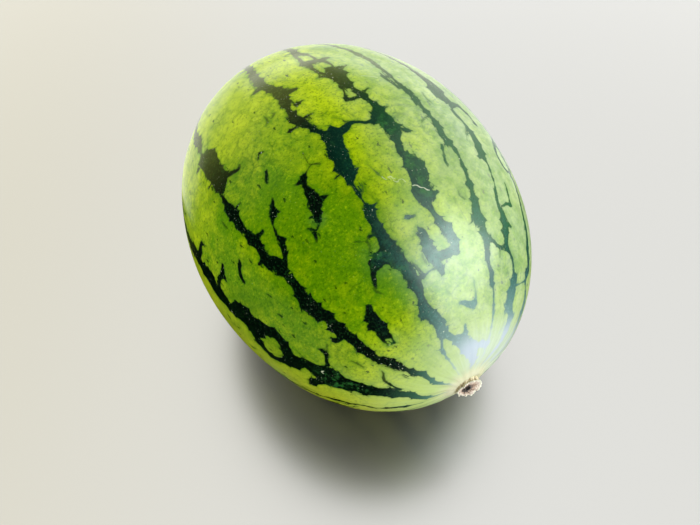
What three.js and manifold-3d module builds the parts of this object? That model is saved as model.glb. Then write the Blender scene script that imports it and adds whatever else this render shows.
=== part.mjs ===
// A small oval watermelon lying on its side, and the dry stump of its stem.
// Millimetres, +Z up. The stem end points along +X, dipping a little. The origin is on the
// resting spot, under the middle of the fruit.
import * as THREE from "three";
import { mergeVertices } from "three/addons/utils/BufferGeometryUtils.js";
import Module from "manifold-3d";

const wasm = await Module();
wasm.setup();

// The fruit: driving dimensions.
const HALF_LENGTH = 96; // from the middle to either end
const HALF_WIDTH = 75; // half the thickness across the middle
const SHOULDER_FULLNESS = 0.035; // how much fuller than an ellipse the two shoulders are
const STEM_END_FULLNESS = 0.004; // how much fuller the stem half is than the blossom half
const OVAL = { swell: 0.7, at: -18 }; // the cross-section is a little oval: mm and degrees round
const THREE_SIDED = { swell: 1.6, at: 36 }; // and a little three-sided
const DIP = 4; // degrees that the stem end hangs below level
const RESTING_CUT = 1.2; // how much the fruit is flattened where it lies

// Relief of the rind.
const FOLDS = 18; // lengthwise folds, one beside each dark stripe
const FOLD_DEPTH = 0.22; // along the flanks
const STEM_DIMPLE = { depth: 1.4, reach: 16.5 };
const PUCKER = { depth: 0.4, reach: 16 }; // the folds deepen where the rind draws in to the stem
const COLLAR = { height: 1.3, radius: 6.8, width: 2.6 }; // raised rind round the stump
const BLOSSOM_DIMPLE = { depth: 1.8, reach: 11 };
const BLOSSOM_SCAR = { height: 1.3, radius: 4.2, edge: 0.9 };

// The stump of the stem, dried and broken off short.
const STUMP_RADIUS = 5.6;
const STUMP_HEIGHT = 4.4; // above the rind
const ROOT_DEPTH = 1.6; // below the rind
const STUMP_LEAN = 7; // degrees away from the fruit's own line
const GAP = 0.35; // clearance between the stump and its socket
const FIBRE_RIDGES = 11;
const FIBRE_DEPTH = 0.5;
const LIP_RAGGED = 0.8; // how unevenly the broken lip stands
const PITH_RADIUS = 1.9; // the hollow pith in the middle of the break
const PITH_DEPTH = 3.4;

// Fineness of the faceting.
const ROUND_STEPS = FOLDS * 5;
const LENGTH_STEPS = 46;
const END_CROWDING = 0.84; // how much closer the rings stand at the two ends
const STUMP_STEPS = FIBRE_RIDGES * 5;

const radians = THREE.MathUtils.degToRad;
const bump = (distance, width) => Math.exp(-((distance / width) ** 2));
const step = (distance, edge) => 1 / (1 + Math.exp(distance / edge));

// The rind's distance from the fruit's line and its place along it, in the fruit's own frame:
// turn is 0 at the stem end and pi at the blossom end, round runs once round the fruit.
function rindPoint(turn, round) {
  const along = Math.cos(turn);
  const belly = Math.sin(turn) ** 2;
  const plain =
    HALF_WIDTH * Math.sin(turn) * (1 + STEM_END_FULLNESS * along + SHOULDER_FULLNESS * along ** 2);
  const swell =
    OVAL.swell * Math.cos(2 * (round - radians(OVAL.at))) +
    THREE_SIDED.swell * Math.cos(3 * (round - radians(THREE_SIDED.at)));
  const atStem = along > 0;
  const fold = Math.cos(FOLDS * round);
  const radius = plain * (1 + (belly * (swell + FOLD_DEPTH * fold)) / HALF_WIDTH);
  let end = 0; // how far the rind stands out along the fruit's line
  if (atStem) {
    const drawnIn = bump(plain, PUCKER.reach) * (1 - bump(plain, COLLAR.radius));
    end -= STEM_DIMPLE.depth * bump(plain, STEM_DIMPLE.reach);
    end += PUCKER.depth * fold * drawnIn;
    end += COLLAR.height * bump(plain - COLLAR.radius, COLLAR.width);
  } else {
    end -= BLOSSOM_DIMPLE.depth * bump(plain, BLOSSOM_DIMPLE.reach);
    end += BLOSSOM_SCAR.height * step(plain - BLOSSOM_SCAR.radius, BLOSSOM_SCAR.edge / 2);
  }
  const x = HALF_LENGTH * along + (atStem ? end : -end);
  return new THREE.Vector3(x, radius * Math.cos(round), radius * Math.sin(round));
}

// A closed geometry as a manifold solid, and back again.
function toSolid(geometry) {
  const bare = new THREE.BufferGeometry();
  const source = geometry.index ? geometry.toNonIndexed() : geometry;
  bare.setAttribute("position", source.getAttribute("position").clone());
  const merged = mergeVertices(bare, 1e-4);
  const corners = merged.index.array;
  const kept = [];
  for (let i = 0; i < corners.length; i += 3) {
    const [a, b, c] = corners.slice(i, i + 3);
    if (a !== b && b !== c && c !== a) kept.push(a, b, c);
  }
  return new wasm.Manifold(
    new wasm.Mesh({
      numProp: 3,
      vertProperties: merged.attributes.position.array,
      triVerts: new Uint32Array(kept),
    }),
  );
}

function toGeometry(solid) {
  const mesh = solid.getMesh();
  const geometry = new THREE.BufferGeometry();
  geometry.setAttribute("position", new THREE.BufferAttribute(mesh.vertProperties, mesh.numProp));
  geometry.setIndex(new THREE.BufferAttribute(mesh.triVerts, 1));
  geometry.computeVertexNormals();
  return geometry;
}

// A lathe whose rings are then moved, point by point, by shape(ring share, round).
function shapedLathe(rings, steps, shape) {
  const profile = [];
  for (let j = 0; j <= rings; j++) {
    const share = j / rings;
    profile.push(new THREE.Vector2(Math.sin(Math.PI * share), -Math.cos(Math.PI * share)));
  }
  profile[0].x = 0;
  profile[rings].x = 0;
  const geometry = new THREE.LatheGeometry(profile, steps);
  const position = geometry.getAttribute("position");
  for (let i = 0; i <= steps; i++) {
    for (let j = 0; j <= rings; j++) {
      const point = shape(j / rings, ((i % steps) / steps) * 2 * Math.PI);
      position.setXYZ(i * (rings + 1) + j, point.x, point.y, point.z);
    }
  }
  return geometry;
}

// The fruit lies with its line dipping by DIP, flattened where it touches the ground.
const lie = new THREE.Matrix4().makeRotationY(radians(DIP));

function fruitGeometry() {
  return shapedLathe(LENGTH_STEPS, ROUND_STEPS, (share, round) => {
    const crowded = share - (END_CROWDING * Math.sin(2 * Math.PI * share)) / (2 * Math.PI);
    const turn = Math.PI * (1 - crowded);
    const point = rindPoint(turn, round);
    if (share === 0 || share === 1) point.set(point.x, 0, 0);
    return point;
  });
}

// The stump: a fibrous wall, a ragged lip and a broken face that falls to the hollow pith.
const STUMP_OUTLINE = [
  // distance from its own line, height above the rind
  [0, -ROOT_DEPTH],
  [STUMP_RADIUS * 0.55, -ROOT_DEPTH],
  [STUMP_RADIUS * 0.95, -ROOT_DEPTH],
  [STUMP_RADIUS, 0],
  [STUMP_RADIUS * 0.98, STUMP_HEIGHT * 0.25],
  [STUMP_RADIUS * 0.92, STUMP_HEIGHT * 0.55],
  [STUMP_RADIUS * 0.9, STUMP_HEIGHT * 0.85],
  [STUMP_RADIUS * 0.82, STUMP_HEIGHT],
  [STUMP_RADIUS * 0.7, STUMP_HEIGHT * 0.93],
  [STUMP_RADIUS * 0.52, STUMP_HEIGHT * 0.76],
  [PITH_RADIUS * 1.35, STUMP_HEIGHT * 0.7],
  [PITH_RADIUS, STUMP_HEIGHT * 0.6],
  [PITH_RADIUS * 0.8, STUMP_HEIGHT - PITH_DEPTH],
  [0, STUMP_HEIGHT - PITH_DEPTH - 0.2],
];

function stumpGeometry() {
  const rings = STUMP_OUTLINE.length - 1;
  return shapedLathe(rings, STUMP_STEPS, (share, round) => {
    const [away, up] = STUMP_OUTLINE[Math.round(share * rings)];
    const above = THREE.MathUtils.clamp(up / STUMP_HEIGHT, 0, 1);
    const onWall = bump(away - STUMP_RADIUS, STUMP_RADIUS / 2);
    const ridge = Math.cos(FIBRE_RIDGES * round) + 0.5 * Math.cos(7 * round + 1);
    const ragged = Math.sin(3 * round + 0.4) + 0.6 * Math.cos(5 * round) + 0.5 * Math.sin(FIBRE_RIDGES * round);
    const out = away + (FIBRE_DEPTH / 2) * ridge * onWall * above - 0.15 * above * away * onWall * Math.cos(round);
    const height = up + LIP_RAGGED * ragged * above * onWall * 0.6;
    if (away === 0) return new THREE.Vector3(up, 0, 0);
    return new THREE.Vector3(height, out * Math.cos(round), out * Math.sin(round));
  });
}

// The stump stands on the stem end, leaning a little, in a socket that clears it by GAP.
const rindAtStem = rindPoint(0, 0).x;
const onStemEnd = new THREE.Matrix4()
  .makeTranslation(rindAtStem, 0, 0)
  .multiply(new THREE.Matrix4().makeRotationY(radians(STUMP_LEAN)));

function socketGeometry() {
  const depth = ROOT_DEPTH + GAP;
  const socket = new THREE.CylinderGeometry(STUMP_RADIUS + GAP, STUMP_RADIUS + GAP, 2 * depth, 40);
  return socket.rotateZ(Math.PI / 2).applyMatrix4(onStemEnd);
}

const whole = toSolid(fruitGeometry()).subtract(toSolid(socketGeometry()));
const lying = toSolid(toGeometry(whole).applyMatrix4(lie));
const lowest = lying.boundingBox().min[2];
const rise = -(lowest + RESTING_CUT);
const lift = new THREE.Matrix4().makeTranslation(0, 0, rise).multiply(lie);
const aboveGround = new THREE.BoxGeometry(400, 400, 400).translate(0, 0, 200);
const fruit = toGeometry(
  toSolid(toGeometry(whole).applyMatrix4(lift)).intersect(toSolid(aboveGround)),
);
const stump = stumpGeometry().applyMatrix4(onStemEnd).applyMatrix4(lift);

const rind = new THREE.MeshStandardMaterial({ color: 0x7fae2e, roughness: 0.35, metalness: 0 });
const dryStem = new THREE.MeshStandardMaterial({ color: 0xb9a27c, roughness: 0.85, metalness: 0 });

const fruitMesh = new THREE.Mesh(fruit, rind);
fruitMesh.name = "fruit";
const stumpMesh = new THREE.Mesh(stump, dryStem);
stumpMesh.name = "stem_stump";

const watermelon = new THREE.Group();
watermelon.add(fruitMesh, stumpMesh);
export default watermelon;
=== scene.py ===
import math

import bpy
import numpy as np
from mathutils import Matrix, Vector


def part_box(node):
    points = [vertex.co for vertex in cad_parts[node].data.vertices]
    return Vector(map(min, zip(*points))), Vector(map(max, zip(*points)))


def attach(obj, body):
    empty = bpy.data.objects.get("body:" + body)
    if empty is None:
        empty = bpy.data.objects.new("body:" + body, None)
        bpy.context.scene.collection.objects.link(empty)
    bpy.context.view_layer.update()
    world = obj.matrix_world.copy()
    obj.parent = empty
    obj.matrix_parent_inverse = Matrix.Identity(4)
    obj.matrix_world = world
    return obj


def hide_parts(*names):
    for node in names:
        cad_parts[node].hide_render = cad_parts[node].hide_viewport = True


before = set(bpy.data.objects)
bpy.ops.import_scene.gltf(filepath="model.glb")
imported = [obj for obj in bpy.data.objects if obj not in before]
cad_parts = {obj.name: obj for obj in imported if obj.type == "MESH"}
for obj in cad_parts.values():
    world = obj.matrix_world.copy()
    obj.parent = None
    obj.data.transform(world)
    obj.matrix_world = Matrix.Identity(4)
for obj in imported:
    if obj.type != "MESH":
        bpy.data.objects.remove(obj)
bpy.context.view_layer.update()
bpy.ops.object.select_all(action="DESELECT")
MM = 0.001


# ---------------------------------------------------------------------------------------
# The fruit's shape
# One solid grown thing: a long ball, a little oval and a little three-sided across, with
# faint lengthwise folds, drawn in round the stem and with a scar where the blossom was.
# It starts as a cube, is divided evenly into small squares and is rounded to its formula.
# ---------------------------------------------------------------------------------------
HALF_LENGTH = 96
HALF_WIDTH = 75
SHOULDER_FULLNESS = 0.035
STEM_END_FULLNESS = 0.004
OVAL_SWELL, OVAL_AT = 0.7, math.radians(-18)
SIDED_SWELL, SIDED_AT = 1.6, math.radians(36)
FOLDS, FOLD_DEPTH = 18, 0.22
DIP = math.radians(4)
STEM_DIMPLE = {"depth": 1.4, "reach": 16.5}
PUCKER = {"depth": 0.4, "reach": 16}
COLLAR = {"height": 1.3, "radius": 6.8, "width": 2.6}
BLOSSOM_DIMPLE = {"depth": 1.8, "reach": 11}
BLOSSOM_SCAR = {"height": 1.3, "radius": 4.2, "edge": 0.45}
HALVINGS = 7  # how often each side of the starting cube is halved


def rind(turn, around):
    """Points of the rind in mm, in the fruit's own frame. turn is 0 at the stem end and pi
    at the blossom end; around runs once round the fruit, 0 at +Y and a quarter turn on top."""
    along = np.cos(turn)
    belly = np.sin(turn) ** 2
    plain = HALF_WIDTH * np.sin(turn) * (1 + STEM_END_FULLNESS * along + SHOULDER_FULLNESS * along**2)
    fold = np.cos(FOLDS * around)
    swell = OVAL_SWELL * np.cos(2 * (around - OVAL_AT)) + SIDED_SWELL * np.cos(3 * (around - SIDED_AT))
    away = plain * (1 + belly * (swell + FOLD_DEPTH * fold) / HALF_WIDTH)
    near_stem = np.exp(-((plain / PUCKER["reach"]) ** 2)) * (1 - np.exp(-((plain / COLLAR["radius"]) ** 2)))
    stem = PUCKER["depth"] * fold * near_stem
    stem = stem - STEM_DIMPLE["depth"] * np.exp(-((plain / STEM_DIMPLE["reach"]) ** 2))
    stem = stem + COLLAR["height"] * np.exp(-(((plain - COLLAR["radius"]) / COLLAR["width"]) ** 2))
    rim = np.clip((plain - BLOSSOM_SCAR["radius"]) / BLOSSOM_SCAR["edge"], -30, 30)
    blossom = BLOSSOM_SCAR["height"] / (1 + np.exp(rim))
    blossom = blossom - BLOSSOM_DIMPLE["depth"] * np.exp(-((plain / BLOSSOM_DIMPLE["reach"]) ** 2))
    out = np.where(along > 0, stem, -blossom)
    return np.stack([HALF_LENGTH * along + out, away * np.cos(around), away * np.sin(around)], -1)


def read_places(mesh):
    places = np.empty(len(mesh.vertices) * 3)
    mesh.vertices.foreach_get("co", places)
    return places.reshape(-1, 3)


def write_places(mesh, places):
    mesh.vertices.foreach_set("co", np.ascontiguousarray(places, dtype=np.float32).ravel())
    mesh.update()


bpy.ops.mesh.primitive_cube_add(size=2)
melon = bpy.context.object
melon.name = "melon"
halve = melon.modifiers.new("halve", "SUBSURF")
halve.subdivision_type = "SIMPLE"
halve.levels = halve.render_levels = HALVINGS
bpy.ops.object.modifier_apply(modifier=halve.name)

cube = np.tan(read_places(melon.data) * math.pi / 4)
ball = cube / np.linalg.norm(cube, axis=1, keepdims=True)
turn = np.arccos(np.clip(ball[:, 0], -1, 1))
around = np.arctan2(ball[:, 2], ball[:, 1])
grown = rind(turn, around)

# The fruit lies with its stem end dipping, at the height that the frame gives it.
lie = np.array(Matrix.Rotation(DIP, 3, "Y"))
lying = grown @ lie.T
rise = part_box("fruit")[1].z / MM - lying[:, 2].max()
CENTRE = np.array([0, 0, rise])
lying = lying + CENTRE
lying[:, 2] = np.maximum(lying[:, 2], 0)
write_places(melon.data, lying * MM)
bpy.ops.object.shade_smooth()


# ---------------------------------------------------------------------------------------
# The markings' layout
# Dark stripes run from the stem to the blossom, broken into patches, spurs and islands.
# Each stroke is a list of (degrees from the stem end, degrees round, half width in mm).
# ---------------------------------------------------------------------------------------
STRIPE_UNDER = [
    (6.5, 175, 0.3), (9, 176.5, 0.5), (12, 175, 1.0), (14.9, 171.5, 1.5), (17, 167, 2.1),
    (20, 162.8, 2.4), (24, 161.8, 3.2), (28, 162.2, 3.8), (32, 163.8, 3.7), (36, 163.8, 4.0),
    (40, 164, 4.6), (43.5, 163.6, 6.0), (46, 162.8, 4.6), (50, 162.6, 2.6), (55, 163.1, 2.5),
    (57, 161, 3.2), (59, 158.8, 2.4), (62, 158.2, 2.7), (64.5, 160, 3.6), (67, 162.4, 5.3),
    (70, 162, 5.6), (72, 162.6, 5.4), (74, 164.6, 3.3), (77, 165.8, 2.6), (80, 165, 4.2),
    (83, 165.2, 4.2), (87, 164.7, 5.0), (90, 166, 3.6), (93, 164.8, 4.6), (97, 166.5, 4.2),
    (102, 168, 3.8), (110, 168.5, 3.0), (120, 167, 2.4), (135, 165, 2.0), (150, 163, 1.4),
    (165, 162, 0.8),
]
STRIPE_LOW = [
    (6.5, 140, 0.25), (9.5, 139, 0.4), (12, 138.6, 0.6), (14, 138, 0.9), (16, 137.6, 1.1),
    (18.5, 136, 1.3), (20.5, 134.6, 1.5), (23, 134, 1.7), (26, 135.6, 1.4), (30, 136.4, 1.4),
    (33, 137, 1.9), (35.5, 138.6, 1.5), (39, 139.2, 2.0), (43, 138.4, 2.3), (47, 137.9, 2.7),
    (50, 138, 3.0), (53, 137.3, 2.6), (56, 138.4, 3.5), (58.5, 138.5, 3.4), (61, 137.8, 2.6),
    (64, 137, 2.1), (67, 137, 2.0), (70, 136.7, 2.6), (73, 138.2, 2.7), (76, 137.8, 1.8),
    (79, 137.9, 2.2), (81.5, 138, 1.4), (84.5, 138.4, 1.7), (87, 138.2, 2.3), (89, 138.4, 2.9),
    (91, 138.6, 1.4), (93.5, 138.5, 0.7), (95.3, 138.5, 0.8), (96.8, 137, 3.2), (98.5, 136.6, 4.8),
    (101, 137.3, 4.4), (104, 137.3, 4.4), (106.5, 137.5, 5.2), (108.3, 139, 4.6), (109.8, 139.8, 2.4),
    (112, 139.9, 1.2), (115, 140, 1.8), (118, 140.6, 2.6), (121, 142, 1.9), (125, 142.8, 1.7),
    (132, 143, 1.9), (140, 142, 1.5), (152, 141, 1.1), (165, 140, 0.7),
]
STRIPE_MIDDLE = [
    (9, 88, 0.3), (12.2, 85.5, 0.9), (14.5, 85.5, 1.9), (17, 87, 2.8), (19.5, 90, 3.2), (22, 94, 3.0),
    (25, 97, 2.4), (26.5, 99.5, 1.6), (28.5, 101.7, 1.5), (30.5, 104, 2.1), (33, 104.2, 2.3),
    (36, 105.4, 2.8), (38.5, 106, 2.9), (41, 105, 1.9), (44, 104.6, 1.6), (47, 104.1, 2.2),
    (50, 103.8, 2.3), (52.5, 104.6, 2.6), (55, 105, 2.9), (58, 105, 2.3), (61, 104.9, 2.1),
    (64, 104.1, 1.8), (67, 103.3, 1.8), (69.3, 103.6, 0.8), (72, 103.5, 0.8), (74.5, 103.4, 1.1),
    (76.5, 102.8, 2.6), (79, 102.8, 3.2), (82, 101.8, 3.2), (85, 100.6, 3.6), (87.5, 99.6, 4.2),
    (89, 101.3, 2.2), (91, 102.6, 1.5), (93, 103.8, 1.2), (95, 105, 2.4), (97.5, 105.5, 2.4),
    (100, 105.8, 1.7), (103, 105.3, 1.9), (106, 104.6, 2.2), (108, 104.4, 2.6), (110, 104.9, 2.2),
    (112, 106.2, 1.8), (114.5, 107.3, 2.1), (118, 107.8, 2.4), (123, 107.9, 2.0), (130, 107.8, 1.8),
    (140, 107.5, 1.4), (152, 107, 1.1), (165, 107, 0.7),
]
STRIPE_UPPER = [
    (57.5, 85.3, 0.8), (60, 85.6, 1.0), (62, 85.2, 1.9), (64, 84.6, 3.9), (66, 85, 3.5), (68, 84.6, 3.2),
    (70, 83.4, 3.9), (72, 83.1, 3.9), (73.7, 83.6, 2.8), (75.5, 84.4, 1.4), (78, 83.9, 1.3),
    (80, 82.9, 2.2), (82, 81.9, 3.1), (84.5, 82.7, 2.9), (87, 83.2, 3.2), (89, 82.6, 2.3),
    (91, 82.2, 1.5), (93, 82.4, 0.8), (94.6, 83.2, 1.8), (96.5, 83.4, 1.5), (99, 84, 1.3),
    (101.5, 84.4, 2.8), (104, 84.2, 3.1), (106.5, 84.4, 4.6), (108.5, 84.6, 2.6),
]
STRIPE_TOP = [
    (9, 74, 0.25), (12.9, 68.5, 0.3), (18, 68.5, 0.35), (22, 68, 0.35), (28, 67.9, 0.5), (34, 67.8, 0.6),
    (36, 68.4, 1.0), (40, 68.8, 1.2), (44, 69.3, 1.2), (47, 68.6, 1.4), (49, 67.8, 2.2), (52, 68, 2.2),
    (54.5, 68.3, 3.0), (57, 68, 2.2), (60, 67.4, 1.6), (63, 66.9, 1.5), (66, 66.2, 1.1), (69, 65.8, 0.7),
    (72, 65.6, 0.7), (75, 66.6, 1.8), (77, 66.9, 1.6), (80, 66.6, 1.5), (84, 66.8, 1.3), (88, 67.3, 1.4),
    (92, 67.3, 1.4), (96, 67.9, 0.9), (100, 68, 0.9), (104, 68.2, 0.9), (108, 68, 1.1), (114, 68.6, 1.4),
    (120, 69, 1.2), (130, 70, 1.0), (145, 70, 0.8), (165, 71, 0.6),
]
STRIPE_FAR = [
    (8, 52, 0.3), (13, 47, 0.6), (16, 44, 1.0), (20, 43, 1.6), (24, 45, 2.2), (26.5, 46.5, 2.4),
    (29, 51, 3.0), (31.5, 51.8, 3.5), (34, 51, 2.5), (37, 50.4, 2.2), (39.5, 51.2, 1.2), (42, 52.3, 0.6),
    (44, 54, 0.7), (45.8, 56, 1.9), (48, 55.8, 1.9), (50.5, 55.2, 2.3), (52.5, 54.8, 2.3),
    (54.5, 55.3, 1.2), (57, 55.9, 0.9), (59.5, 55.8, 0.9), (61.5, 54.4, 0.7), (65, 53.8, 0.5),
    (68, 53.3, 0.8), (70, 54, 2.4), (73, 53.5, 2.5), (76.5, 53, 2.3), (79, 53.1, 1.2), (81.5, 54, 0.7),
    (83.5, 54.9, 1.7), (86, 54.3, 0.9), (88, 52.3, 2.4), (90.5, 54, 4.2), (92.5, 54.6, 4.8),
    (95, 52.5, 4.0), (98, 53, 3.0), (102, 53.5, 2.2), (108, 54.5, 1.8), (116, 56, 1.6), (128, 58, 1.3),
    (145, 60, 1.0), (165, 62, 0.6),
]
STRIPE_EDGE = [
    (10, 24, 0.4), (15, 20, 0.7), (20, 19, 1.1), (25, 21, 2.0), (29, 23.5, 2.6), (32.5, 27, 1.6),
    (34.5, 30.5, 0.6), (36.5, 33, 1.3), (38.5, 33.5, 2.3), (41, 31.5, 2.2), (45, 33.3, 2.3),
    (49, 34.2, 2.0), (53, 35, 1.6), (56, 36, 1.4), (60, 36, 1.0), (64, 36, 1.9), (67, 37.5, 1.4),
    (70, 36.5, 1.8), (76, 38, 2.2), (80, 37, 1.6), (86, 38, 1.2), (94, 40, 1.6), (104, 41, 1.3),
    (120, 43, 1.3), (140, 44, 1.1), (165, 45, 0.6),
]
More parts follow.
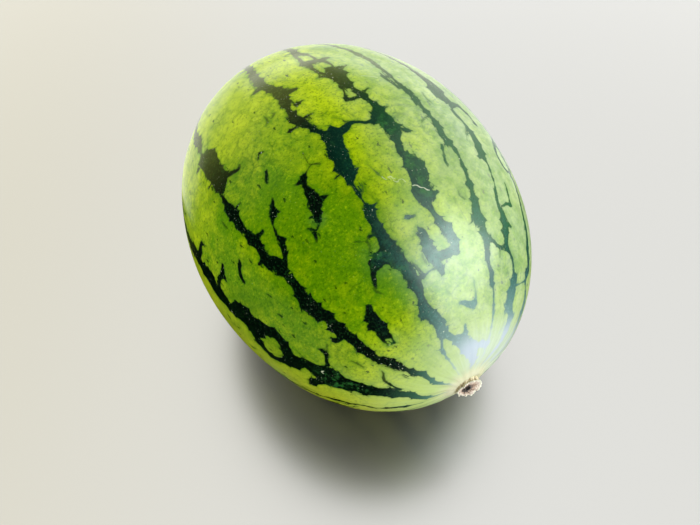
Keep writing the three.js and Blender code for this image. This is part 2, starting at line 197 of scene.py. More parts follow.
SPURS_AND_ISLANDS = [
    # off the stripe under the belly
    [(53, 165.5, 3.4), (55.5, 168, 3.0), (57.5, 170.6, 2.0), (60, 171.7, 1.6), (62.5, 171.5, 1.6),
     (64.8, 169.6, 2.4), (66.5, 166, 3.4)],
    [(45, 167, 3.2), (46.5, 171.5, 2.6), (47.8, 175, 1.9), (48.6, 177.3, 0.6)],
    [(45.8, 156.3, 0.9), (47.1, 152.3, 0.5), (48.1, 150.5, 0.8), (50, 151, 0.3)],
    [(48.1, 150.5, 0.6), (48.2, 148.8, 0.3)],
    [(24.5, 155.3, 0.6), (28, 152.5, 0.5), (30.5, 150.5, 0.4), (32, 146, 0.4), (33, 144.5, 0.3)],
    [(81.5, 162, 1.4), (81.8, 158.5, 1.3), (81.5, 156.3, 1.7), (82.6, 153.6, 0.7)],
    [(81.3, 156.3, 1), (79.3, 156.8, 0.4)],
    [(92.5, 161, 2.2), (92.7, 157.8, 1.3), (91.5, 156.2, 0.5), (90.2, 155.4, 0.3)],
    [(74.8, 150.5, 0.5), (76.3, 150.3, 0.8), (77.6, 149, 0.9), (78.6, 146.8, 0.9), (79.2, 146, 0.5)],
    [(61.8, 149.2, 0.4), (63.5, 149.9, 0.3)],
    [(66.9, 146.3, 0.5), (68.2, 146.8, 0.4)],
    # off the low stripe
    [(47.3, 140.5, 1.3), (47.8, 142.8, 1.1), (49.3, 143, 0.5)],
    [(73.8, 139.5, 1.2), (74, 141.2, 0.5)],
    [(78.8, 136.5, 0.9), (78.9, 133.6, 0.5)],
    [(88.4, 137, 1.0), (88.6, 134.2, 0.4)],
    [(99.8, 140, 0.9), (99.9, 142, 0.3)],
    [(108.3, 142, 1.3), (108.5, 145, 0.4)],
    [(97.2, 133.5, 1.3), (96.8, 131.5, 0.7), (96.1, 129.2, 0.5), (96.8, 128.2, 0.3)],
    [(68.5, 134.6, 0.6), (70.5, 133, 1.0), (72.5, 131.3, 1.3), (74, 130.6, 1.2), (75.5, 130.8, 0.6),
     (77.5, 130.2, 0.5), (79, 129.2, 0.8), (80.3, 127.6, 1.4), (81.3, 127, 1.3), (82.3, 125.9, 0.6),
     (83.3, 125.1, 0.3)],
    [(73.8, 130, 0.8), (73.6, 129.3, 0.3)],
    [(80, 126.4, 0.7), (79.4, 125.6, 0.3)],
    [(87.3, 123.8, 0.4), (88.5, 123.2, 0.7), (90, 121.6, 0.4)],
    [(94.1, 122, 0.4), (95.2, 120.8, 0.8), (94.6, 119.3, 0.3)],
    # islands between the low and the middle stripe
    [(36.8, 126.8, 0.5), (38.5, 125.8, 0.9), (40.5, 126.4, 2.4), (43, 126.4, 2.9), (45, 125.5, 3.0),
     (47, 124.6, 2.2), (48.8, 122.9, 0.4)],
    [(37.6, 129.4, 0.4), (39.5, 129.4, 0.5), (41.5, 128.6, 1.2)],
    [(43.8, 128.5, 1.3), (44, 130.3, 0.4)],
    [(69.9, 121, 0.5), (70.6, 119, 0.9), (71.5, 117.6, 1.2), (73.4, 117.4, 1.9), (75.3, 115.6, 2.5),
     (77.3, 115.2, 1.9), (79.5, 115.3, 1.2), (81, 115, 1.4), (82.2, 114.3, 1.1), (83, 112.7, 0.5),
     (83.9, 110.6, 0.4), (83.8, 109.2, 0.45), (83.1, 107.8, 0.25)],
    [(83.9, 110.6, 0.35), (86, 110.4, 0.3), (88, 110, 0.2)],
    [(75.4, 113.3, 0.8), (75.3, 111.2, 0.35)],
    [(81.8, 115.6, 0.8), (82, 117.4, 0.25)],
    [(70.3, 120.6, 0.6), (69, 121.6, 0.5), (68, 122.4, 0.25)],
    [(70.6, 120.8, 0.5), (71.8, 122, 0.4)],
    [(73.3, 118.8, 0.9), (73.4, 120, 0.4)],
    # off the middle stripe
    [(30, 106, 1.2), (28, 107.6, 0.9), (26.2, 109.7, 0.8), (24, 110.8, 0.6), (20, 111, 0.35),
     (14.3, 111, 0.3), (10, 112, 0.22)],
    [(25.5, 111, 0.4), (26.6, 113.8, 0.25)],
    [(38.3, 108.5, 1.4), (38.8, 110.6, 0.5)],
    [(46.9, 101.8, 0.9), (46.7, 99.2, 0.7), (47.1, 96.8, 0.6), (47, 94.6, 0.9)],
    [(47.2, 99.2, 0.5), (49.5, 100.2, 0.35), (51.5, 100.9, 0.3)],
    [(55.5, 106, 2.5), (56, 109, 2.7), (56, 111.5, 2.4), (56.5, 113, 1.3)],
    [(55.4, 113.2, 1.2), (53.8, 114.9, 0.8), (52.3, 115.8, 0.6), (50.8, 116.8, 0.35)],
    [(61.5, 106.8, 0.8), (61.8, 108.9, 0.3)],
    [(67.4, 102, 0.9), (67.5, 100.4, 0.3)],
    [(77, 100.6, 1.0), (76.9, 98.8, 0.35)],
    [(77.9, 105, 0.9), (77.7, 106.9, 0.35)],
    [(95.1, 107.3, 1.3), (95.3, 110.2, 0.4)],
    [(96.3, 103, 0.5), (96.2, 100, 0.25)],
    [(101.5, 103, 1.1), (101.6, 100.4, 0.4)],
    [(106.9, 102, 1.4), (106.7, 99.2, 0.5)],
    [(115.2, 109.5, 1.4), (115, 113, 0.4)],
    # the bridge from the middle to the upper stripe
    [(87.8, 97, 2.4), (88.5, 94.3, 1.4), (88.8, 93.5, 1.2), (88.6, 92, 0.7), (87.8, 90, 0.6),
     (87.2, 88.5, 0.6), (86.8, 87, 0.9), (86.2, 85.5, 1.5)],
    [(89.3, 93.8, 0.7), (90.3, 94, 0.4)],
    # the upper stripe's two loops near the stem, its spikes and its rings near the blossom
    [(48.3, 83, 2.0), (51, 83.2, 2.3), (54, 83.2, 2.3), (56.2, 84.3, 1.9), (58.5, 85.3, 1.0)],
    [(49.3, 85, 2.2), (49.2, 88.5, 1.7), (49, 91.5, 2.2)],
    [(45, 92, 0.8), (47.5, 92.6, 2.0), (51, 93, 2.0), (54, 92.6, 2.1), (56.2, 92.4, 1.9)],
    [(60.6, 91.6, 0.3), (61, 94.3, 0.8)],
    [(33.2, 80.8, 0.9), (33.6, 83.5, 1.7), (34.8, 87.5, 1.1), (35.4, 89.5, 0.4)],
    [(19, 76, 1.9), (17.6, 71, 1.2), (18.5, 66, 0.6)],
    [(22.5, 93, 1.6), (26, 91.7, 0.9), (28.6, 90, 0.4)],
    [(34, 80.5, 0.5), (36.5, 79.8, 0.3), (39.5, 79.3, 0.22)],
    [(63.6, 82.5, 1.0), (63.4, 80.2, 0.4)],
    [(80.8, 79.5, 1.2), (80.7, 77.8, 0.7), (80.1, 76.4, 0.25)],
    [(81.8, 79.6, 0.9), (82.2, 78.8, 0.3)],
    [(88.9, 81, 0.6), (89.1, 78.2, 0.25)],
    [(96.1, 81.8, 0.8), (96.8, 79.6, 0.3)],
    [(107.6, 80.8, 1.6), (108.2, 78.8, 0.5)],
    [(107, 88.5, 0.7), (107.3, 90.8, 0.25)],
    [(95, 84, 1.5), (95.2, 86.4, 1.3), (95.8, 88.2, 1.0), (97.3, 87.9, 0.6), (99, 87, 0.5),
     (101, 86.6, 0.9)],
    [(108.5, 83, 0.9), (110.5, 82.7, 0.6), (113, 83.3, 0.7), (115, 84, 1.5)],
    [(107.3, 87.3, 1.4), (109, 88.6, 0.8), (111, 89.3, 0.8), (113.3, 89.1, 0.7), (115, 88.8, 1.6)],
    [(114.6, 80.5, 0.4), (115, 82.3, 1.0), (115.2, 85, 1.8), (115.6, 88, 2.1), (116, 90.2, 1.3),
     (116, 92, 0.4)],
    [(116.5, 84.8, 1.2), (119, 84.8, 1.0), (122, 85.6, 1.0), (125, 86.8, 1.6)],
    [(117, 89.6, 0.9), (119.5, 89.4, 0.7), (122, 89.2, 0.7), (125, 87.6, 1.4)],
    [(125, 87, 1.9), (130, 86, 1.9), (138, 85, 1.5), (150, 85, 1.1), (165, 85, 0.7)],
    # off the top stripe
    [(74.7, 69.8, 0.7), (72.5, 70.8, 0.4), (70.5, 71.8, 0.5), (69, 71.9, 0.35)],
    [(54.8, 70.6, 1.3), (53.8, 72.2, 0.5), (53.4, 74, 0.25)],
    [(94.5, 69.6, 0.5), (97.5, 69.9, 0.5), (99.5, 70.6, 1.0), (102, 70.3, 0.5)],
    [(48.3, 66, 0.8), (47.5, 64.3, 0.6), (46.6, 62.8, 0.6), (45.6, 61, 0.8), (45.6, 59, 0.7),
     (45.8, 57.5, 1.3)],
    [(45, 61, 0.4), (43, 61.6, 0.3)],
    # off the far stripe
    [(69.8, 55.5, 1.2), (70.1, 57.6, 0.3)],
    [(56.2, 54, 0.5), (56.7, 51.5, 0.45), (56.9, 49.3, 0.6), (56.6, 47.3, 0.8), (58.5, 47.2, 0.4),
     (61, 46.6, 0.5), (63, 46.8, 0.3)],
    [(53, 53, 0.6), (50.8, 51, 0.5), (50.6, 50.3, 0.3)],
    [(81.5, 46, 1.2), (84, 46.3, 0.8), (87, 47.5, 1.2), (88.3, 49.5, 1.6)],
    [(34.8, 46.5, 0.7), (35.3, 42, 0.5), (36.2, 37, 0.6), (37, 33, 1.3)],
    [(67, 38.5, 0.7), (67.5, 41.5, 0.6), (69.5, 43, 0.6), (72.5, 43, 0.6), (75, 41, 0.9),
     (76.5, 38.5, 1.3)],
]
# where the ground shows through inside a dark patch
PALE_BAYS = [
    [(61, 162.6, 2.2), (61, 165.2, 2.9), (60.8, 167.4, 1.6)],
]

# The side that turns away has stripes of the same kind, drawn by a seeded rule.
rng = np.random.default_rng(7)
HIDDEN_STRIPES = [190, 212, 236, 258, 281, 301, 323, 346, 10]
HIDDEN_REACH = (15, 166)
STATION_STEP = 2.6
HIDDEN_ISLANDS = 26
CRACKS = 90
MEAN_GIRTH = 2.2
SPUR_CHANCE = 0.34
MM_A_DEGREE = 1.3


def wandering_stripe(home):
    """A stripe that keeps about home degrees round, and the spurs that it throws off."""
    points = []
    spurs = []
    drift = 0.0
    girth = 2.0
    for station in np.arange(*HIDDEN_REACH, STATION_STEP):
        drift = 0.86 * drift + rng.normal(0, 0.9)
        girth = np.clip(0.68 * girth + 0.32 * MEAN_GIRTH + rng.normal(0, 1.1), 0.5, 5.6)
        taper = min(1, (station - 8) / 30, (172 - station) / 45)
        at = home + drift
        points.append((station, at, max(0.35, girth * taper)))
        if rng.random() < SPUR_CHANCE * taper:
            hand = rng.choice([-1, 1])
            base = girth * taper / MM_A_DEGREE
            long = rng.uniform(1.5, 4.5)
            tilt = rng.uniform(-1.6, 1.6)
            spurs.append([
                (station, at + hand * base * 0.6, rng.uniform(0.8, 1.4)),
                (station + tilt * 0.5, at + hand * (base + long * 0.5), rng.uniform(0.4, 0.8)),
                (station + tilt, at + hand * (base + long), 0.3),
            ])
    return points, spurs


def island(station, at):
    """A dark island that lies lengthwise, and the one spike on its side."""
    size = rng.uniform(0.5, 1.9)
    tilt = rng.uniform(-2.0, 2.0)
    points = [
        (station - 3 * size, at - tilt, 0.35),
        (station - size, at - tilt / 3, size),
        (station + size, at + tilt / 3, size * rng.uniform(0.6, 1.2)),
        (station + 3 * size, at + tilt, 0.35),
    ]
    spike = [(station + size, at, 0.7), (station + size, at + rng.choice([-1, 1]) * (1.5 + size), 0.3)]
    return [points, spike]


strokes = [STRIPE_UNDER, STRIPE_LOW, STRIPE_MIDDLE, STRIPE_UPPER, STRIPE_TOP, STRIPE_FAR, STRIPE_EDGE]
strokes += SPURS_AND_ISLANDS
for home in HIDDEN_STRIPES:
    backbone, spurs = wandering_stripe(home)
    strokes.append(backbone)
    strokes += spurs
for _ in range(HIDDEN_ISLANDS):
    strokes += island(rng.uniform(35, 140), rng.uniform(195, 355))
# hair-fine dark cracks all over, lengthwise and a little crooked
for _ in range(CRACKS):
    station, at = rng.uniform(22, 150), rng.uniform(0, 360)
    long, crook = rng.uniform(0.8, 2.6), rng.normal(0, 1.4, 2)
    strokes.append([
        (station - long, at, 0.2),
        (station, at + crook[0], 0.3),
        (station + long, at + crook[0] + crook[1], 0.2),
    ])


def smooth_stroke(stroke, parts=4):
    """The stroke's points with a smooth curve drawn through them."""
    knots = np.array([stroke[0]] + list(stroke) + [stroke[-1]], float)
    out = []
    for a, b, c, d in zip(knots, knots[1:], knots[2:], knots[3:]):
        for s in np.arange(parts) / parts:
            straight = 2 * b + (c - a) * s
            bend = (2 * a - 5 * b + 4 * c - d) * s**2
            out.append(0.5 * (straight + bend + (3 * b - a - 3 * c + d) * s**3))
    out.append(knots[-1])
    return np.array(out)


by_turn = np.argsort(turn)
sorted_turn = turn[by_turn]
FAR_OUTSIDE = 30.0  # what a point with no stroke near it is given, in mm
THINNEST = 0.22
LOOK_PAST = 12  # how far past a stroke's edge the distances are worked out, in mm
BELT_RADIUS = 70  # under the fruit's least radius, so that no near point is missed


def mark(strokes):
    """For every point of the rind: how far outside the nearest stroke it lies, in mm, that
    stroke's half width there, and the nearest place on its middle line."""
    outside = np.full(len(grown), FAR_OUTSIDE)
    girth = np.full(len(grown), 1.0)
    nearest = grown.copy()
    for stroke in strokes:
        line = smooth_stroke(stroke)
        turns = np.radians(line[:, 0])
        places = rind(turns, np.radians(line[:, 1]))
        widths = np.maximum(line[:, 2], THINNEST)
        ends = zip(places, places[1:], turns, turns[1:], widths, widths[1:])
        for a, b, turn_a, turn_b, wide_a, wide_b in ends:
            span = b - a
            reach = np.linalg.norm(span) / 2 + max(wide_a, wide_b) + LOOK_PAST
            margin = reach / BELT_RADIUS
            belt_ends = [min(turn_a, turn_b) - margin, max(turn_a, turn_b) + margin]
            belt = np.searchsorted(sorted_turn, belt_ends)
            near = by_turn[belt[0]:belt[1]]
            near = near[np.abs(grown[near] - (a + b) / 2).max(1) < reach]
            share = np.clip((grown[near] - a) @ span / (span @ span + 1e-9), 0, 1)
            foot = a + share[:, None] * span
            width = wide_a + (wide_b - wide_a) * share
            gap = np.linalg.norm(grown[near] - foot, axis=1) - width
            closer = gap < outside[near]
            outside[near[closer]] = gap[closer]
            girth[near[closer]] = width[closer]
            nearest[near[closer]] = foot[closer]
    return outside, girth, nearest


def keep_on(mesh, name, values):
    """Keeps a number or a place for each point, for the material to read under that name."""
    kind, slot = ("FLOAT_VECTOR", "vector") if values.ndim == 2 else ("FLOAT", "value")
    layer = mesh.attributes.new(name, kind, "POINT")
    layer.data.foreach_set(slot, np.ascontiguousarray(values, dtype=np.float32).ravel())


def near_spots(spots):
    """1 at the middle of the nearest spot, falling to 0 about its reach away."""
    out = np.zeros(len(grown))
    for along_deg, round_deg, reach in spots:
        middle = rind(math.radians(along_deg), math.radians(round_deg))
        out = np.maximum(out, np.exp(-((np.linalg.norm(grown - middle, axis=1) / reach) ** 2)))
    return out


outside, girth, nearest = mark(strokes)
keep_on(melon.data, "stripe_outside", outside)
keep_on(melon.data, "stripe_girth", girth)
keep_on(melon.data, "stripe_middle", nearest)
bay_outside, _, _ = mark(PALE_BAYS)
keep_on(melon.data, "bay_outside", bay_outside)
# places where a stripe's dark green breaks up into lighter green
MOTTLED = [
    (66, 85, 6), (74, 84, 5), (84, 82, 6), (52, 104, 5), (56, 109, 5), (41, 163, 7), (36, 164, 5),
    (38, 126, 3), (72, 118, 2.5), (61, 90, 5), (104, 168, 6), (112, 140, 5), (60, 188, 8), (53, 88.5, 3),
]
# broad places where the ground is greener, and where it's yellower
GREENER = [
    (80, 125, 16), (68, 118, 11), (83, 151, 9), (90, 102, 11), (105, 84, 12), (60, 165, 8), (88, 140, 8),
]
YELLOWER = [(38, 142, 13), (43, 153, 10), (118, 146, 14), (68, 160, 8), (98, 141, 6)]
# places where a stripe is a weak mid green all through; most of them lie under the window's highlight,
# where this pale is a painted highlight
FADED_AND_HIGHLIGHT_SPOTS = [(51, 84, 10), (50, 92, 10), (61, 94, 8), (47, 97, 4), (60, 188, 10), (34, 84, 9), (40, 80, 8)]
for name, spots in (("mottled", MOTTLED), ("greener", GREENER), ("yellower", YELLOWER), ("faded_and_highlight", FADED_AND_HIGHLIGHT_SPOTS)):
    keep_on(melon.data, name, near_spots(spots))
# thin healed scratches, pale and raised a little
SCRATCHES = [
    [(64.6, 82.6, 0.3), (64.9, 83.6, 0.4), (65.8, 84.2, 0.4), (66.2, 85.4, 0.4), (67.1, 85.9, 0.3),
     (67.3, 87.2, 0.25)],
    [(68.6, 88.6, 0.25), (69.7, 88.9, 0.3), (70.1, 90, 0.35), (69.6, 91, 0.3), (70.6, 91.9, 0.35),
     (71.4, 91.4, 0.3), (71.8, 92.6, 0.25), (71.2, 93.6, 0.3), (72.4, 94.4, 0.25)],
    [(100, 73, 0.25), (101.2, 75.5, 0.3), (102, 78, 0.25)],
    [(45.8, 160.8, 0.35), (46.4, 161.9, 0.4), (45.6, 162.6, 0.35)],
]
scratch_outside, _, scratch_middle = mark(SCRATCHES)
keep_on(melon.data, "scratch_outside", scratch_outside)
keep_on(melon.data, "scratch_middle", scratch_middle)


# ---------------------------------------------------------------------------------------
# The rind's skin
# Smooth, hard and waxy: a granular yellow-green ground with darker green flecks, and stripes
# of very dark green whose edges are scalloped where the lobes of the ground push in.
# ---------------------------------------------------------------------------------------
class Wire:
    """A socket of a material's nodes. Arithmetic on it adds Math nodes, node() any other."""

    def __init__(self, material, socket=None):
        self.material = material
        self.socket = socket

    def node(self, kind, settings=(), sockets=(), output=0):
        made = self.material.node_tree.nodes.new("ShaderNode" + kind)
        for name, value in dict(settings).items():
            setattr(made, name, value)
        for name, value in dict(sockets).items():
            if isinstance(value, Wire):
                self.material.node_tree.links.new(value.socket, made.inputs[name])
            else:
                made.inputs[name].default_value = value
        return Wire(self.material, made.outputs[output])

    def maths(self, operation, first, second=0.0):
        return self.node("Math", {"operation": operation}, {0: first, 1: second})

    def __add__(self, other):
        return self.maths("ADD", self, other)

    def __sub__(self, other):
        return self.maths("SUBTRACT", self, other)

    def __rsub__(self, other):
        return self.maths("SUBTRACT", other, self)

    def __mul__(self, other):
        return self.maths("MULTIPLY", self, other)

    def __truediv__(self, other):
        return self.maths("DIVIDE", self, other)

    def __pow__(self, other):
        return self.maths("POWER", self, other)

    __radd__ = __add__
    __rmul__ = __mul__

    def least(self, other):
        return self.maths("MINIMUM", self, other)

    def most(self, other):
        return self.maths("MAXIMUM", self, other)

    def rising(self, low, high):
        """0 below low, 1 above high and smooth between; falling where low is the higher."""
        ends = {"From Min": min(low, high), "From Max": max(low, high)}
        ends["To Min"], ends["To Max"] = (0.0, 1.0) if low < high else (1.0, 0.0)
        ends["Value"] = self
        return self.node("MapRange", {"interpolation_type": "SMOOTHSTEP"}, ends)

    def tint(self, under, over):
        """The colour under where this value is 0 and over where it is 1."""
        share, colour_a, colour_b, mixed_colour = 0, 6, 7, 2  # the node's places for these
        sockets = {share: self, colour_a: under, colour_b: over}
        return self.node("Mix", {"data_type": "RGBA"}, sockets, mixed_colour)

    def stretched(self, by):
        """This place with its X, Y and Z multiplied by three numbers."""
        return self.node("VectorMath", {"operation": "MULTIPLY"}, {0: self, 1: by})

    def shifted(self, by):
        """This place moved by another."""
        return self.node("VectorMath", {"operation": "ADD"}, {0: self, 1: by})

    def noise(self, size, detail=2.0, roughness=0.5, output="Fac"):
        """Soft noise from 0 to 1 whose blots are about size mm across."""
        sockets = {"Vector": self, "Scale": 1 / size, "Detail": detail, "Roughness": roughness}
        return self.node("TexNoise", (), sockets, output)

    def cells(self, size, feature="F1", output="Distance"):
        """Cells about size mm across: a distance in mm, or a colour that differs by cell."""
        made = self.node("TexVoronoi", {"feature": feature}, {"Vector": self, "Scale": 1 / size}, output)
        return made * size if output == "Distance" else made

    def gap_to(self, other):
        """How far this place is from another."""
        return self.node("VectorMath", {"operation": "DISTANCE"}, {0: self, 1: other}, "Value")


def rgb(red, green, blue):
    """A colour from its 0 to 255 values on a screen."""
    shares = [value / 255 for value in (red, green, blue)]
    return tuple(v / 12.92 if v <= 0.04045 else ((v + 0.055) / 1.055) ** 2.4 for v in shares) + (1,)


skin = bpy.data.materials.new("waxy_rind")
skin.use_nodes = True
shader = skin.node_tree.nodes["Principled BSDF"]
on_skin = Wire(skin)
own_frame = {
    "Rotation": (0, -DIP, 0),
    "Scale": (1 / MM, 1 / MM, 1 / MM),
    "Location": (rise * math.sin(DIP), 0, -rise * math.cos(DIP)),
    "Vector": on_skin.node("TexCoord", (), (), "Object"),
}
# each point's place in mm in the fruit's own frame, and its degrees along and round the fruit
place = on_skin.node("Mapping", (), own_frame)
along, side, high = (on_skin.node("SeparateXYZ", (), {0: place}, axis) for axis in "XYZ")
ratio = (along / HALF_LENGTH).most(-1.0).least(1.0)
turn_deg = on_skin.maths("ARCCOSINE", ratio) * math.degrees(1)
angle = on_skin.maths("ARCTAN2", high, side)
round_deg = angle * math.degrees(1)


def kept(name, output="Fac"):
    """The number that the points keep under a name, or with output "Vector" the place."""
    return on_skin.node("Attribute", {"attribute_name": name}, (), output)


def shake(size, detail, roughness, by):
    """A push that drifts softly from place to place, in all three directions."""
    return place.noise(size, detail, roughness, "Color").stretched((by, by, by))


# the stripes' edges: fine ones from the middle lines, scalloped by broad and small lobes
half_width = kept("stripe_girth")
rough = kept("stripe_outside")
fine = place.gap_to(kept("stripe_middle", "Vector")) - half_width
blend = rough.rising(0.5, 1.1).most(half_width.rising(0.7, 1.2))
edge = fine + (rough - fine) * blend
edge = edge.most(0.0 - kept("bay_outside"))
BROAD_LOBE, SMALL_LOBE, MEAN_LOBE = 7.5, 3.4, 0.66
warped = place.shifted(shake(5.0, 2.0, 0.5, 3.2))
broad_lobes = (warped.cells(BROAD_LOBE, "DISTANCE_TO_EDGE") / 2.2).least(1.0) ** 0.5
small_lobes = warped.cells(SMALL_LOBE, "DISTANCE_TO_EDGE").least(1.0) ** 0.5
reach = 0.2 + 0.8 * (half_width / 2.0).least(1.0)
scallops = (broad_lobes - MEAN_LOBE) * (reach * 1.9) + (small_lobes - MEAN_LOBE) * (reach * 0.5)
grit = (place.noise(0.5, 3.0, 0.65) - 0.5) * (0.3 + reach * 0.8)
limit = edge + scallops + grit
stripe = limit.rising(0.34, -0.3) * (0.5 + 0.5 * half_width.rising(0.2, 0.5))

# the stripes' green, near black on the near side and lighter in places; on the upper and the far side it is
# painted lighter, as painted light and painted reflection
NEAR_BLACK = rgb(1, 9, 4)
BLACK_GREEN = rgb(6, 26, 10)
DARK_TEAL = rgb(12, 72, 56)
LIT_GREEN = rgb(52, 122, 40)
PATCH_GREEN = rgb(40, 96, 40)
FADED_AND_HIGHLIGHT_STRIPE = rgb(84, 116, 104)
RIM_GREEN = rgb(24, 66, 6)
CORE_SLATE = rgb(26, 92, 80)
STREAK_GREEN = rgb(44, 100, 44)
STREAK_DARK = rgb(1, 24, 12)
YOUNG_AND_LIT_GREEN = rgb(66, 108, 84)
SILVER_GREEN = rgb(100, 146, 138)
LILAC_GREY = rgb(160, 174, 192)
BLOSSOM_END_OLIVE = rgb(98, 114, 34)
FAR_LOW_SHADE_DARK = rgb(4, 34, 16)
patches = place.noise(4.2, 4.0, 0.62)
light_patch = patches.rising(0.47, 0.62) * kept("mottled") * 0.9 + patches.rising(0.56, 0.76) * 0.2
specks = place.noise(1.1, 3.0, 0.6).rising(0.5, 0.72)
# painted light and painted reflection: the stripes turn teal on the upper and the far side, where they face
# the light
painted_light_side = (side.rising(-27, -8) * 0.75 + side.rising(0, 45) * 0.25) * (0.6 + 0.4 * specks)
painted_light_side = painted_light_side * turn_deg.rising(108, 70)
deep = (specks * 0.35).tint(NEAR_BLACK, BLACK_GREEN)
deep = painted_light_side.least(1.0).tint(deep, DARK_TEAL)
# painted light: the far side's stripes lighter green where the light falls on them
deep = (side.rising(0, 24) * turn_deg.rising(38, 54) * 0.3).tint(deep, LIT_GREEN)
deep = light_patch.least(1.0).tint(deep, PATCH_GREEN)
# stripes paled to mid green: a painted highlight under the window's glare, and one weak patch low on the
# near side
faded_and_highlight = kept("faded_and_highlight") * (0.5 + 0.45 * patches.rising(0.4, 0.62))
deep = faded_and_highlight.least(1.0).tint(deep, FADED_AND_HIGHLIGHT_STRIPE)
near_stem = turn_deg.rising(70, 50) * side.rising(-34, -14)
deep = (limit.rising(-0.9, 0.3) * (0.4 - near_stem * 0.3)).tint(deep, RIM_GREEN)
streaks = place.noise(0.8, 4.0, 0.7)
# painted reflection: the stripes' cores slate blue on the stem end's upper side, where the window's haze
# lies
painted_haze_core = limit.rising(-0.5, -1.8) * near_stem * (0.35 + 0.65 * streaks.rising(0.4, 0.6))
deep = (painted_haze_core * 0.45).tint(deep, CORE_SLATE)
deep = (streaks.rising(0.54, 0.7) * 0.4).tint(deep, STREAK_GREEN)
deep = (streaks.rising(0.46, 0.34) * 0.5).tint(deep, STREAK_DARK)
# lighter teal towards the stem end: partly the stripes' own colour there, partly painted light from the
# window beyond the stem
deep = (turn_deg.rising(32, 14) * 0.7).tint(deep, YOUNG_AND_LIT_GREEN)
# painted highlight: the stripes silvery green and lilac grey near the stem end, where the window's glare
# lies on them
painted_glare_silver = turn_deg.rising(48, 24) * side.rising(-26, -6) * (0.55 + 0.4 * specks)
deep = painted_glare_silver.tint(deep, SILVER_GREEN)
deep = (turn_deg.rising(27, 19) * side.rising(-14, 0) * 0.85).tint(deep, LILAC_GREY)
# the stripes greyer olive towards the blossom end
deep = (turn_deg.rising(90, 118) * (0.5 + 0.4 * specks)).tint(deep, BLOSSOM_END_OLIVE)
# painted shade: the stripes darker on the far lower side, towards the blossom end
away = side.rising(8, 40) * high.rising(30, 6) * turn_deg.rising(50, 75)
deep = (away * 0.6).tint(deep, FAR_LOW_SHADE_DARK)

# the ground: granular green with yellower lobes, darker flecks and faint veins
LEAF_GREEN = rgb(94, 141, 0)
RIPE_YELLOW = rgb(172, 194, 6)
GRAIN_YELLOW = rgb(186, 210, 14)
GRAIN_GREEN = rgb(48, 94, 0)
SPECKLE_GREEN = rgb(48, 98, 0)
CLOUD_GREEN = rgb(54, 104, 0)
FAR_YELLOW = rgb(186, 204, 62)
SEAM_GREEN = rgb(66, 116, 0)
LOW_YELLOW = rgb(196, 200, 60)
UNDER_CREAM = rgb(208, 212, 164)
FAR_LOW_SHADE_GREEN = rgb(70, 124, 0)
FADED_AND_HIGHLIGHT_GROUND = rgb(168, 200, 100)
MOTTLED_GROUND = rgb(112, 156, 96)
VEIN_GREEN = rgb(46, 94, 0)
HALO_GREEN = rgb(66, 122, 0)
WEB_GREEN = rgb(52, 100, 0)
FLECK_GREEN = rgb(18, 56, 4)
coarse = place.noise(22.0, 3.0, 0.55)
blots = place.noise(5.0, 4.0, 0.6)
grain = place.stretched((1.0, 0.7, 0.7)).noise(0.9, 4.0, 0.75)
speckle = place.noise(2.0, 4.0, 0.7)
# painted light: the top, from the middle to the blossom end, is made yellower, as if lit from above;
# ripeness yellows both ends
painted_top_light = round_deg.rising(112, 99) * round_deg.rising(68, 84) * turn_deg.rising(48, 62)
ripeness_and_top_light = 0.62 * turn_deg.rising(62, 118) + 0.34 * turn_deg.rising(52, 30) + 0.5 * painted_top_light
ripeness_and_top_light = ripeness_and_top_light + (blots - 0.5) * 1.5 + (coarse - 0.5) * 1.5 + 0.12
ripeness_and_top_light = ripeness_and_top_light + kept("yellower") * 0.45 - kept("greener") * 0.5
ground = ripeness_and_top_light.most(0.0).least(1.0).tint(LEAF_GREEN, RIPE_YELLOW)
ground = (grain.rising(0.52, 0.7) * 0.5).tint(ground, GRAIN_YELLOW)
ground = (grain.rising(0.5, 0.32) * 0.75).tint(ground, GRAIN_GREEN)
ground = (speckle.rising(0.56, 0.7) * 0.5).tint(ground, SPECKLE_GREEN)
ground = (coarse.rising(0.42, 0.3) * 0.4).tint(ground, CLOUD_GREEN)
ground = (turn_deg.rising(94, 126) * side.rising(-14, -30) * 0.45).tint(ground, FAR_YELLOW)
ground = ((1 - broad_lobes) * 0.34 + (1 - small_lobes) * 0.12).tint(ground, SEAM_GREEN)
# the lower side yellower and creamier: partly the fruit's own pale underside, partly painted light thrown
# up from the floor
ground = (high.rising(34, -16) * (0.6 - away * 0.45)).tint(ground, LOW_YELLOW)
ground = (high.rising(-14, -36) * (0.5 - away * 0.3)).tint(ground, UNDER_CREAM)
# painted shade: the ground greener and darker on the far lower side
ground = (away * 0.42).tint(ground, FAR_LOW_SHADE_GREEN)
# painted highlight: the ground paler where the window's highlight falls
ground = (kept("faded_and_highlight") * 0.25).tint(ground, FADED_AND_HIGHLIGHT_GROUND)
ground = (kept("mottled") * 0.35).tint(ground, MOTTLED_GROUND)
veins = place.shifted(shake(2.5, 3.0, 0.6, 3.4)).cells(8.5, "DISTANCE_TO_EDGE").rising(0.7, 0.0)
veins = veins * (place.noise(15.0, 2.0, 0.5).rising(0.5, 0.66) * 0.45)
ground = veins.tint(ground, VEIN_GREEN)
ground = (limit.rising(1.5, 0.2) * 0.4).tint(ground, HALO_GREEN)
web = place.shifted((90.0, 0.0, 0.0)).shifted(shake(1.6, 3.0, 0.6, 2.4))
web = web.cells(4.6, "DISTANCE_TO_EDGE").rising(0.4, 0.0)
ground = (web * place.noise(9.0, 2.0, 0.5).rising(0.5, 0.64) * 0.4).tint(ground, WEB_GREEN)
fleck_place = place.stretched((0.42, 1.0, 1.0)).shifted(shake(1.3, 2.0, 0.6, 1.7))
fleck_chance = on_skin.node("SeparateXYZ", (), {0: fleck_place.cells(2.6, "F1", "Color")}, "X")
flecks = fleck_place.cells(2.6).rising(0.7, 0.35) * fleck_chance.rising(0.68, 0.78)
